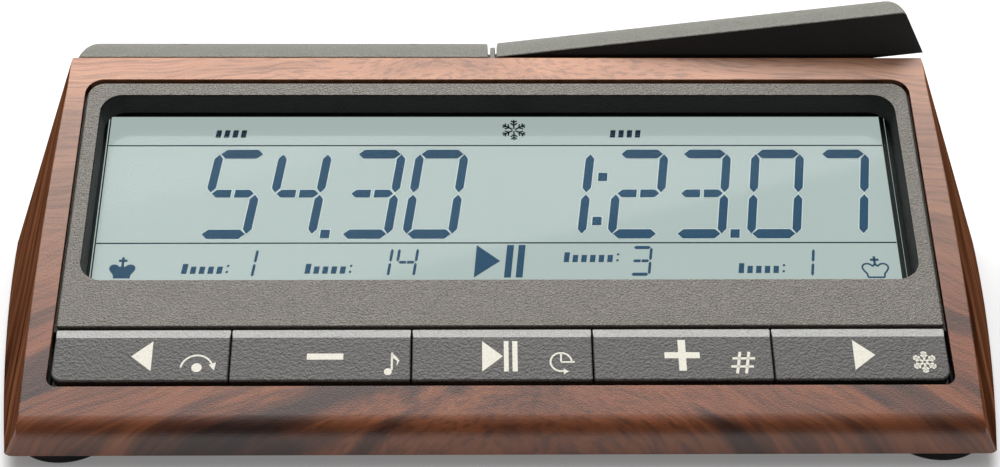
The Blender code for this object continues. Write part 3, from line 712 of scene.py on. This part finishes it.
# ---------------------------------------------------------------- front panel and display
def front_panel():
    rings = []
    radii = (0.5, 0.5, 3.8, 3.8)
    for inset, depth in quarter(0.45, 5):
        rings.append((rounded(-PANEL_HALF + inset, PANEL_HALF - inset,
                              PANEL_LOW + inset * 0.4, PANEL_HIGH - inset,
                              tuple(max(0.1, r - inset) for r in radii)), 0.1 + depth))
    flange = rounded(-FLANGE_HALF, FLANGE_HALF, PANEL_LOW, FLANGE_HIGH, (0.1,) * 4)
    rings.append((rounded(-PANEL_HALF, PANEL_HALF, PANEL_LOW, PANEL_HIGH, radii), FLANGE_FROM_TO[0]))
    rings += [(flange, depth) for depth in FLANGE_FROM_TO]
    plate = use(stack("front_panel_moulding", face, rings, 35), LOOK["panel"])
    half, low, high = RECESS
    box = rounded(-half - 1.2, half + 1.2, low - 1.2, high + 1.2, (5.9,) * 4)
    walls = use(prism("recess_box", face, box, 3.0, 6.6), LOOK["recess"])
    carve(plate, [walls], 'UNION', True)
    lip = 0.35
    rings = [(rounded(-half - lip - 1, half + lip + 1, low - lip - 1, high + lip + 1,
                      (RECESS_CORNER + lip + 1,) * 4), -0.9)]
    for i in range(7):
        a = math.pi / 2 * i / 6
        out = lip * (1 - math.sin(a))
        rings.append((rounded(-half - out, half + out, low - out, high + out, (RECESS_CORNER + out,) * 4),
                      0.085 + lip * (1 - math.cos(a))))
    rings.append((rounded(-half, half, low, high, (RECESS_CORNER,) * 4), 9.0))
    cutter = stack("recess", face, rings)
    use(cutter, LOOK["panel"], LOOK["recess"])
    # black from just below the surface, which carries the black over the rim's fillet on the top and sides as
    # painted shade, but the lower edge keeps its pale fillet, where the light falls
    edge = face(0, low + 1.2, 0.12)
    down = (face(0, 50, 1) - face(0, 50, 0)).normalized()
    up = (face(0, 51, 0) - face(0, 50, 0)).normalized()
    for polygon in cutter.data.polygons:
        beyond = polygon.center - edge
        if beyond.dot(down) > 0 and (beyond.dot(up) > 0 or beyond.dot(down) > 0.0008):
            polygon.material_index = 1
    carve(plate, [cutter], transfer=True)
    plate.data.shade_smooth()
    plate.data.set_sharp_from_angle(angle=math.radians(35))
    tray = prism("tray", face, rectangle(-97.0, 97.0, 5.0, 21.75), 2.6, 7.2)
    use(tray, LOOK["recess"])
    tools = [prism("tray_hollow", face, rectangle(-95.4, 95.4, 6.0, 21.3), 0.0, 6.0)]
    for i, (a, b) in enumerate(zip(BUTTON_EDGES, BUTTON_EDGES[1:])):
        tools.append(prism("stem_hole_%d" % i, face, circle((a + b) / 2, STEM_V, 1.65, 20), 5.0, 9.0))
    for tool in tools:
        use(tool, LOOK["recess"])
    carve(tray, tools)
    posts = [use(prism("post_%d" % i, face, circle(x, 26.5, 2.6, 24), 3.9, 11.5), LOOK["recess"])
             for i, x in enumerate((-84.0, -28.0, 28.0, 84.0))]
    whole = join("front_panel_assembly", [plate, tray] + posts)
    place(whole, "case", "panel", "front_panel")


SLANT = math.tan(math.radians(7.3))


def segments(lit, width, mid, height_h, thick_v, thick_h, gap):
    """Outlines of a slanted seven-segment figure about its centre."""
    half_h = (height_h - thick_h) / 2
    half_w = width / 2
    tip = thick_v * 0.66

    def bar(x0, x1, y, thick, left=True, right=True):
        p = thick / 2
        out = [(x0, y)] if left else []
        out += [(x0 + (p if left else 0), y - p), (x1 - (p if right else 0), y - p)]
        out += [(x1, y)] if right else []
        out += [(x1 - (p if right else 0), y + p), (x0 + (p if left else 0), y + p)]
        return out

    def post(x, y0, y1):
        p = thick_v / 2
        return [(x, y0), (x + p, y0 + tip), (x + p, y1 - tip), (x, y1), (x - p, y1 - tip), (x - p, y0 + tip)]

    reach = half_w - gap
    shapes = {
        "a": [bar(-reach, reach, half_h, thick_h)],
        "d": [bar(-reach, reach, -half_h, thick_h)],
        "g": [bar(-reach + 0.05, -mid, 0.0, thick_h * 0.86, True, False),
              bar(mid, reach - 0.05, 0.0, thick_h * 0.86, False, True)],
        "f": [post(-half_w, gap, half_h - gap * 0.3)],
        "b": [post(half_w, gap, half_h - gap * 0.3)],
        "e": [post(-half_w, -half_h + gap * 0.3, -gap)],
        "c": [post(half_w, -half_h + gap * 0.3, -gap)],
    }
    return [outline for key in lit for outline in shapes[key]]


FIGURES = {"0": "abcdef", "1": "bc", "2": "abged", "3": "abgcd", "4": "fgbc", "5": "afgcd", "7": "abc"}


def grow(outline, amount):
    """An outline pushed outwards."""
    out = []
    count = len(outline)
    area = sum(outline[i][0] * outline[(i + 1) % count][1] - outline[(i + 1) % count][0] * outline[i][1]
               for i in range(count))
    sign = 1 if area > 0 else -1
    for i in range(count):
        p, q, r = Vector(outline[i - 1]), Vector(outline[i]), Vector(outline[(i + 1) % count])
        a, b = (q - p).normalized(), (r - q).normalized()
        na, nb = Vector((a.y, -a.x)) * sign, Vector((b.y, -b.x)) * sign
        m = na + nb
        m = m / max(0.5, m.length_squared) * 2
        out.append(tuple(q + m * amount))
    return out


def plates(name, outlines, top, bottom, material):
    """Thin printed shapes on the sloping face."""
    bm = bmesh.new()
    for outline in outlines:
        low = [bm.verts.new(face(u, v, bottom)) for u, v in outline]
        high = [bm.verts.new(face(u, v, top)) for u, v in outline]
        count = len(outline)
        bm.faces.new(high)
        bm.faces.new(low[::-1])
        for i in range(count):
            j = (i + 1) % count
            bm.faces.new((low[i], low[j], high[j], high[i]))
    return use(finish_mesh(name, bm, 20), material)


def moved(outline, dx, dy, slant=0.0):
    return [(x + dx + slant * y, y + dy) for x, y in outline]


def arc_band(cx, cy, r0, r1, start, end, steps=20):
    """Band between two radii, angles in degrees."""
    turns = [math.radians(start + (end - start) * i / steps) for i in range(steps + 1)]
    outer = [(cx + r1 * math.cos(a), cy + r1 * math.sin(a)) for a in turns]
    inner = [(cx + r0 * math.cos(a), cy + r0 * math.sin(a)) for a in reversed(turns)]
    return outer + inner


def stroke(x0, y0, x1, y1, width):
    d = Vector((x1 - x0, y1 - y0)).normalized() * width / 2
    return [(x0 - d.y, y0 + d.x), (x0 + d.y, y0 - d.x), (x1 + d.y, y1 - d.x), (x1 - d.y, y1 + d.x)]


def snowflake(cx, cy, r, width):
    shapes = []
    for i in range(6):
        a = math.radians(90 + 60 * i)
        dx, dy = math.cos(a), math.sin(a)
        shapes.append(stroke(cx + dx * r * 0.12, cy + dy * r * 0.12, cx + dx * r, cy + dy * r, width))
        for t in (0.45, 0.72):
            for turn in (50, -50):
                b = a + math.radians(turn)
                length = r * (0.34 if t < 0.6 else 0.28)
                shapes.append(stroke(cx + dx * r * t, cy + dy * r * t, cx + dx * r * t + math.cos(b) * length,
                                     cy + dy * r * t + math.sin(b) * length, width))
    return shapes


def king(cx, cy, size, outline_only):
    """A plain king symbol: two wide lobes on a narrow foot, and a cross."""
    right = [(0.33, -0.5), (0.35, -0.33), (0.45, -0.2), (0.52, -0.07), (0.51, 0.05), (0.43, 0.13), (0.31, 0.16),
             (0.19, 0.12), (0.09, 0.02), (0.045, 0.11)]
    body = [(cx + x * size, cy + y * size) for x, y in right + [(-x, y) for x, y in reversed(right)]]
    shapes = [body]
    if outline_only:
        shapes = [stroke(*a, *b, size * 0.07) for a, b in zip(body, body[1:] + body[:1])]
    shapes.append(stroke(cx, cy + 0.06 * size, cx, cy + 0.5 * size, size * 0.1))
    shapes.append(stroke(cx - 0.17 * size, cy + 0.34 * size, cx + 0.17 * size, cy + 0.34 * size, size * 0.1))
    return shapes


def lcd():
    glass_outline = rounded(-LCD_HALF, LCD_HALF, LCD_LOW, LCD_HIGH, (0.4,) * 4, 3)
    ground = prism("lcd_cell", face, glass_outline, LCD_TOP, 9.1)
    use(ground, LOOK["lcd"])
    place(ground, "case", "lcd", "lcd_glass")
    big, small = [], []
    for figure, x in (("5", -60.9), ("4", -46.15), ("3", -29.05), ("0", -14.5), ("2", 31.9), ("3", 46.5),
                      ("0", 63.5), ("7", 78.7), ("1", 14.75)):
        for outline in segments(FIGURES[figure], *FIGURE_SIZE):
            big.append(moved(outline, x, FIGURE_MIDDLE, SLANT))
    # the dots between the figures
    dot = [(-0.95, 1.15), (-1.15, -1.15), (0.95, -1.15), (1.15, 1.15)]
    for x, y in ((-39.45, 51.1), (53.25, 51.1), (23.9, 67.0), (22.1, 54.6)):
        big.append(moved(dot, x, y))
    for figure, x, y in (("1", -56.8, 43.2), ("1", -26.6, 43.4), ("4", -20.9, 43.4), ("3", 31.6, 43.7),
                         ("1", 68.1, 43.2)):
        for outline in segments(FIGURES[figure], *SMALL_FIGURE_SIZE):
            small.append(moved(outline, x, y, SLANT))
    # the running symbol: a triangle and two slanted bars
    small.append([(-5.9, 39.3), (-5.2, 48.0), (0.0, 43.7)])
    for x in (2.0, 4.6):
        small.append([(x - 1.2, 39.3), (x + 0.35, 39.3), (x + 1.2, 48.0), (x - 0.35, 48.0)])
    small += king(-84.1, 42.0, 5.6, False) + king(84.0, 42.0, 5.6, True)
    # rows of plain marks, where the real display has words
    for x, y, count, height in ((-71.0, 40.4, 5, 2.6), (-43.6, 40.4, 5, 2.6), (14.2, 43.4, 6, 2.6),
                                (53.2, 40.4, 5, 2.6), (-66.0, 78.4, 4, 2.1), (26.0, 78.4, 4, 2.1)):
        for i in range(count):
            left = x + i * 1.95
            top = height if i == 0 or y > 50 else height * 0.72
            small.append(moved(rectangle(left, left + 1.2, 0, top), 0.0, y, SLANT))
        if y < 50:
            for dy in (0.2, 1.8):
                left = x + count * 1.95 + 0.1
                small.append(moved(rectangle(left, left + 0.5, dy, dy + 0.5), 0.0, y, SLANT))
    flake = snowflake(3.6, 80.6, 3.0, 0.34)
    lines = [rectangle(GROUND_LEFT, GROUND_RIGHT, low, high) for low, high in ((75.9, 76.18), (48.45, 48.75))]
    # the dark border round the ground, with gaps on each side where the glowing ground shows through as a fine
    # pale line: a painted glint on the glass edge
    edges = [rectangle(-92.1, 92.1, 84.5, 85.8)]
    edges += [rectangle(left, right, 32.6, 84.4)
              for left, right in ((-92.1, -91.2), (-90.95, -90.65), (89.7, 90.8), (90.92, 92.1))]
    pieces = [plates("lcd_halos", [grow(o, 0.22) for o in big], LCD_TOP - 0.04, LCD_TOP - 0.005,
                     LOOK["halo"]),
              plates("lcd_figures", big, LCD_TOP - 0.09, LCD_TOP - 0.045, LOOK["segment"]),
              plates("lcd_small_figures", small, LCD_TOP - 0.09, LCD_TOP - 0.01, LOOK["segment"]),
              plates("lcd_snowflake", flake, LCD_TOP - 0.09, LCD_TOP - 0.01, LOOK["line"]),
              plates("lcd_lines", lines, LCD_TOP - 0.09, LCD_TOP - 0.01, LOOK["line"]),
              plates("lcd_edges", edges, LCD_TOP - 0.13, LCD_TOP - 0.02, LOOK["lcd_edge"])]
    for piece in pieces:
        place(piece, "case", "lcd")
    rings = []
    for inset, depth in quarter(0.2, 3):
        rings.append((rounded(-93.0 + inset, 93.0 - inset, 32.0 + inset, 86.1 - inset,
                              (1.0 - inset,) * 4, 4), 6.9 + depth))
    rings.append((rounded(-93.0, 93.0, 32.0, 86.1, (1.0,) * 4, 4), 7.7))
    window = use(stack("window_pane", face, rings), LOOK["window"])
    place(window, "case", "window", "display_window")


# ---------------------------------------------------------------- buttons
def button_outline(x0, x1, y0, y1, inset, left, right):
    radii = (max(0.12, left - inset), max(0.12, right - inset), 0.25, 0.25)
    return rounded(x0 + inset, x1 - inset, y0 + inset, y1, radii, 6)


def buttons():
    last = len(BUTTON_NAMES) - 1
    for i, name in enumerate(BUTTON_NAMES):
        x0 = BUTTON_EDGES[i] + (0 if i == 0 else 0.175)
        x1 = BUTTON_EDGES[i + 1] - (0 if i == last else 0.175)
        left, right = (2.3 if i == 0 else 0.45), (2.3 if i == last else 0.45)
        rings = []
        for inset, depth in quarter(0.4, 5):
            top = BUTTON_FLAT_HIGH + depth / 0.4 * 2.2
            rings.append((button_outline(x0, x1, BUTTON_LOW, top, inset, left, right), -0.2 + depth))
        for depth in (0.45, 2.6):
            rings.append((button_outline(x0, x1, BUTTON_LOW, BUTTON_HIGH, 0.0, left, right), depth))
        rim = rounded(x0, x1, 6.3, 21.5, (0.12,) * 4, 6)
        rings += [(rim, 2.6), (rim, 4.7)]
        cap = use(stack(name + "_cap", face, rings, 30), LOOK["button"], LOOK["painted_highlight_button_chamfer"])
        # faces of the top chamfer that face upwards take the lighter copy: a painted highlight of the light from
        # above
        for polygon in cap.data.polygons:
            middle = polygon.center
            rise = (middle.y - HOUSE_LOW.y) * COS_F + (middle.z - HOUSE_LOW.z) * SIN_F
            if rise / MM > FACE_Y * COS_F + FACE_Z * SIN_F + BUTTON_FLAT_HIGH + 0.1 and polygon.normal.z > 0.6:
                polygon.material_index = 1
        centre = (BUTTON_EDGES[i] + BUTTON_EDGES[i + 1]) / 2
        stem_rings = [(circle(centre, STEM_V, radius, 20), depth)
                      for radius, depth in ((1.3, 4.7), (1.3, 8.2), (1.0, 8.5))]
        stem = use(stack(name + "_stem", face, stem_rings), LOOK["button"])
        whole = join(name + "_key", [cap, stem])
        place(whole, name, "buttons", name)


def icons():
    sets = {
        "back_button": [[(-78.4, 14.1), (-74.0, 10.5), (-74.0, 17.8)],
                        arc_band(-64.4, 10.9, 3.2, 3.6, 22, 172),
                        [(-61.9, 12.0), (-60.4, 12.6), (-60.7, 10.6)],
                        circle(-64.4, 11.3, 1.1, 20)],
        "minus_button": [rectangle(-41.3, -33.6, 13.2, 14.7),
                         stroke(-23.3, 10.6, -23.3, 14.9, 0.42), circle(-24.1, 10.2, 0.85, 16),
                         [(-23.4, 14.9), (-23.4, 13.9), (-22.2, 12.8), (-22.3, 11.6), (-21.7, 12.9),
                          (-22.4, 13.9)]],
        "play_pause_button": [[(-4.2, 10.2), (-4.2, 17.7), (0.2, 13.95)], rectangle(0.4, 1.4, 10.2, 17.7),
                              rectangle(2.2, 3.3, 10.2, 17.7),
                              arc_band(12.5, 12.5, 2.05, 2.45, 0, 285), stroke(12.5, 12.5, 12.5, 14.7, 0.38),
                              stroke(12.5, 12.5, 15.4, 12.5, 0.38), [(13.0, 9.5), (13.0, 10.9), (14.1, 10.2)]],
        "plus_button": [rectangle(34.5, 42.0, 13.35, 14.85), rectangle(37.45, 39.05, 10.3, 13.35),
                        rectangle(37.45, 39.05, 14.85, 17.9),
                        stroke(49.7, 9.6, 50.6, 14.9, 0.62), stroke(51.6, 9.6, 52.5, 14.9, 0.62),
                        stroke(48.5, 11.3, 53.3, 11.3, 0.55), stroke(48.9, 13.3, 53.7, 13.3, 0.55)],
        "forward_button": [[(79.4, 14.1), (74.8, 17.8), (74.8, 10.4)]] + snowflake(89.7, 12.3, 2.65, 0.46),
    }
    for name, shapes in sets.items():
        piece = plates(name + "_print", shapes, -0.235, -0.18, LOOK["icon"])
        place(piece, name, "buttons")


# ---------------------------------------------------------------- rocker
def lever_half(y, z):
    """Half width of the casing's leaning form at a point, inset for the lever."""
    end = CASE_DEPTH - BACK_CORNER
    if y <= end:
        return side_half(y) - side_lean(y) * z - LEVER_INSET
    low, high = 0.0, math.pi / 2
    for _ in range(30):
        a = (low + high) / 2
        depth = end + BACK_CORNER * math.sin(a) - BACK_LEAN * math.sin(a) * z
        if depth < y:
            low = a
        else:
            high = a
    a = (low + high) / 2
    centre = side_half(end) - BACK_CORNER
    return centre + (BACK_CORNER - LEVER_INSET) * math.cos(a) - math.cos(a) * side_lean(end) * z


def lever_section(y, inner, drop, under, shrink, inset=0.0):
    """Cross-section of a lever cap at depth y: inner foot, inner top, outer top, outer foot."""
    centre_y, centre_z = LEVER_FRONT + 0.4, LEVER_TOP - LEVER_ARC
    radius = LEVER_ARC - drop
    top = centre_z + math.sqrt(radius ** 2 - max(0.0, y - centre_y) ** 2) - shrink
    points = [(inner + shrink * 0.5, under)]
    r_in, r_out = 0.35, 0.75
    for i in range(4):
        a = math.pi / 2 * i / 3
        points.append((inner + shrink * 0.5 + r_in * (1 - math.cos(a)), top - r_in + r_in * math.sin(a)))
    for i in range(6):
        a = math.pi / 2 * i / 5
        z = top - r_out + r_out * math.cos(a)
        edge = lever_half(y, z) - inset - shrink * 0.5
        points.append((edge - r_out + r_out * math.sin(a), z))
    points.append((lever_half(y, (top + under) / 2) - inset - shrink * 0.5, (top + under) / 2))
    points.append((lever_half(y, under) - inset - shrink * 0.5, under))
    return points


def lever(node, side, angle):
    base = rocked(through, angle, side)
    depths = []
    r = 0.45
    for i in range(5):
        a = math.pi / 2 * i / 4
        depths.append((LEVER_FRONT + r * (1 - math.cos(a)), r * (1 - math.sin(a))))
    steps = 28
    for i in range(1, steps + 1):
        # closer together towards the rounded back corner
        depths.append((LEVER_FRONT + r + (LEVER_BACK - LEVER_FRONT - r) * math.sin(math.pi / 2 * i / steps),
                       0.0))
    for i in range(1, 4):
        a = math.pi / 2 * i / 3
        depths.append((LEVER_BACK + 0.25 * math.sin(a), 0.25 * (1 - math.cos(a))))
    sections = [[base(px, pz, y) for px, pz in lever_section(y, LEVER_INNER, 0.0, LEVER_UNDER, shrink)]
                for y, shrink in depths]
    cap = use(loft(node + "_cap", sections, 38), LOOK["lever"], LOOK["painted_shade_lever_front"])
    inner_sections = []
    for i in range(15):
        y = LEVER_FRONT + 2.0 + (LEVER_BACK - LEVER_FRONT - 4.0) * i / 14
        inner_sections.append([base(px, pz, y) for px, pz in
                               lever_section(y, LEVER_INNER + 1.5, 2.0, LEVER_UNDER - 4.0, 0.0, 2.0)])
    hollow = use(loft(node + "_hollow", inner_sections, 38), LOOK["inside"])
    flat_frame = rocked(flat, angle, side)
    opening = rectangle(LEVER_INNER - 1.0, LEVER_INNER + 5.0, 92.5, 105.0)
    notch = use(prism(node + "_notch", flat_frame, opening, 37.0, 45.0), LOOK["inside"])
    carve(cap, [hollow, notch], transfer=True)
    # the upright front face takes the near-black copy of the lever plastic: painted shade for a face turned from
    # the light above and behind
    front_y = to_world(0, LEVER_FRONT, 0).y
    slots = cap.data.materials
    if LOOK["painted_shade_lever_front"].name not in slots:
        slots.append(LOOK["painted_shade_lever_front"])
    dark = slots.find(LOOK["painted_shade_lever_front"].name)
    for polygon in cap.data.polygons:
        if abs(polygon.center.y - front_y) < 0.0002 and polygon.normal.y < -0.9:
            polygon.material_index = dark
    cap.data.shade_smooth()
    cap.data.set_sharp_from_angle(angle=math.radians(38))
    bosses = []
    for x in (20.0, 75.0):
        boss = prism("boss", flat_frame, circle(x, 98.5, 2.6, 24), 44.0, LEVER_TOP - 1.6)
        bosses.append(use(boss, LOOK["inside"]))
    whole = join(node + "_moulding", [cap] + bosses)
    place(whole, "rocker", "lever", node)


# ---------------------------------------------------------------- feet and underside
def feet():
    for node in ("foot_front_left", "foot_front_right", "foot_back_left", "foot_back_right"):
        low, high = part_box(node)
        cx, cy = (low.x + high.x) / 2, (low.y + high.y) / 2
        r = (high.x - low.x) / 2 / MM
        # (radius, height) from the dished sole up to the peg in the casing
        profile = [(r - 2.6, 0.35), (r - 2.2, 0.0), (r - 1.2, 0.0), (r - 0.5, 0.2), (r - 0.1, 0.65), (r, 1.1),
                   (r, 2.45), (r - 0.15, 2.7), (3.9, 2.7), (3.9, 5.5), (3.6, 5.8)]
        rings = [[Vector((cx + x * MM, cy + y * MM, low.z + z * MM)) for x, y in circle(0, 0, radius, 64)]
                 for radius, z in profile]
        foot = use(loft(node + "_pad", rings, 35), LOOK["rubber"])
        place(foot, "case", "rubber", node)


CARRIED = {
    "black": ("base_cover", "battery_door", "lcd_frame", "processor_chip", "lever_switch_left",
              "lever_switch_right", "power_switch", "buzzer"),
    "lever": ("rocker_carrier",),
    "white_film": ("lcd_reflector",),
    "rubber": ("connector_strip", "button_mat"),
    "board": ("main_board", "switch_board_left", "switch_board_right"),
    "button": ("power_button",),
    "cell": ("battery_cell_1", "battery_cell_2"),
    "brass": ("battery_link", "battery_contact_plus", "battery_contact_minus"),
}


def carried_over():
    """Finishes for the CAD nodes that stay; screws, springs and the other metal parts are steel."""
    looks = {name: look for look, names in CARRIED.items() for name in names}
    for name, obj in NODES.items():
        if not obj.hide_render:
            use(obj, LOOK[looks.get(name, "steel")])


# ---------------------------------------------------------------- studio
def studio():
    floor = bpy.data.meshes.new("floor")
    size = 4.0
    corners = [(x, y, 0) for x, y in rectangle(-size, size, -size, size)]
    floor.from_pydata(corners, [], [(0, 1, 2, 3)])
    plane = new_object("floor", floor)
    plane.location.z = CAD_LOW.z - 0.0001
    n = Nodes("floor_paper", (0.64, 0.64, 0.64), 0.9, specular=0.1)
    n.shader.inputs["Emission Color"].default_value = (1.0, 1.0, 1.0, 1.0)
    n.shader.inputs["Emission Strength"].default_value = 0.2
    plane.data.materials.append(n.material)

    def softbox(name, where, size, radiance, turn):
        light = bpy.data.lights.new(name, 'AREA')
        light.shape = 'RECTANGLE'
        light.size, light.size_y = size
        light.energy = radiance * math.pi * size[0] * size[1]
        obj = new_object(name, light)
        obj.location = where
        obj.rotation_euler = tuple(math.radians(a) for a in turn)

    # the first two make the soft bands on the sloping face, the last lights the levers and the floor
    softbox("strip_light", (0.0, 0.183, 1.0), (1.2, 0.091), 1.7, (0.0, 0.0, 13.0))
    softbox("slanted_softbox", (-0.034, 0.308, 1.0), (1.4, 0.35), 2.6, (0.0, 0.0, 13.9))
    softbox("back_softbox", (-0.15, 0.56, 1.0), (1.7, 0.5), 6.5, (-20.0, 0.0, 0.0))

    world = bpy.context.scene.world or bpy.data.worlds.new("studio")
    bpy.context.scene.world = world
    world.use_nodes = True
    tree = world.node_tree
    tree.nodes.clear()
    out = tree.nodes.new("ShaderNodeOutputWorld")
    ground = tree.nodes.new("ShaderNodeBackground")
    where = tree.nodes.new("ShaderNodeTexCoord")
    toward = tree.nodes.new("ShaderNodeVectorMath")
    toward.operation = 'DOT_PRODUCT'
    toward.inputs[1].default_value = (0.0, 0.5, 0.866)
    ramp = tree.nodes.new("ShaderNodeValToRGB")
    for element, (position, level) in zip(ramp.color_ramp.elements, ((0.25, 0.06), (0.95, 0.75))):
        element.position = position
        element.color = (*(level,) * 3, 1.0)
    tree.links.new(where.outputs["Generated"], toward.inputs[0])
    tree.links.new(toward.outputs["Value"], ramp.inputs["Fac"])
    tree.links.new(ramp.outputs["Color"], ground.inputs["Color"])
    tree.links.new(ground.outputs[0], out.inputs["Surface"])
    bpy.context.scene.view_settings.view_transform = 'Standard'


def camera():
    data = bpy.data.cameras.new("camera")
    data.lens = 72.0
    data.sensor_width = 36.0
    data.clip_start, data.clip_end = 0.01, 20.0
    obj = new_object("camera", data)
    yaw, pitch, roll = math.radians(1.07), math.radians(30.0), math.radians(0.47)
    ahead = Vector((math.sin(yaw) * math.cos(pitch), math.cos(yaw) * math.cos(pitch), -math.sin(pitch)))
    right = Vector((math.cos(yaw), -math.sin(yaw), 0.0))
    up = right.cross(ahead)
    c, s = math.cos(roll), math.sin(roll)
    right_rolled, up_rolled = c * right + s * up, c * up - s * right
    turn = Matrix((right_rolled, up_rolled, -ahead)).transposed()
    obj.matrix_world = Matrix.Translation(to_world(-7.25, -338.71, 248.97)) @ turn.to_4x4()
    bpy.context.scene.camera = obj


casing()
front_panel()
lcd()
buttons()
icons()
lever("left_lever", -1, 0.0)
lever("right_lever", 1, -ROCK_ANGLE)
feet()
carried_over()
studio()
camera()
